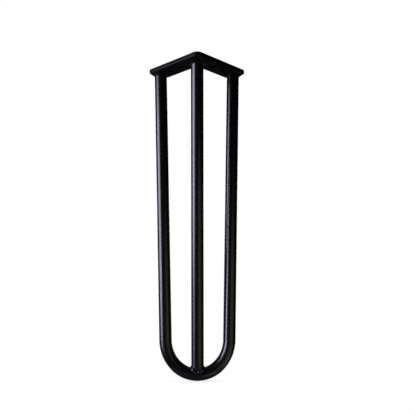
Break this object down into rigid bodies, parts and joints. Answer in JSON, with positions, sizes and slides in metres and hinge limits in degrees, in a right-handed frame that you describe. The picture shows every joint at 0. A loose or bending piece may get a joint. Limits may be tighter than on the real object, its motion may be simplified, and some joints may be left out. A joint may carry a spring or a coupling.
{
  "type": "hairpin table leg",
  "caption": "Black hairpin table leg: round bar bent to a long U with a straight corner rod on its bend, welded under a right-angled screw plate.",
  "frame": {"origin": "on the mounting face, above the top of the corner rod's axis", "axes": "+Z out of the mounting face, up into the table; +Y along the plate's diagonal from its outer corner to its open side, the way the foot leans; +X across, towards the right arm"},
  "size_m": [0.093, 0.0794, 0.3],
  "materials": {
    "rod_coat": "satin black powder coat on round bar",
    "plate_coat": "satin black powder coat on flat plate",
    "weld_coat": "satin black powder coat over weld beads"
  },
  "bodies": {
    "root": {"mounting_plate": "plate_coat", "hairpin_rod": "rod_coat", "corner_rod": "rod_coat", "corner_plate_weld": "weld_coat", "left_plate_weld": "weld_coat", "right_plate_weld": "weld_coat", "foot_weld": "weld_coat"}
  },
  "joints": []
}
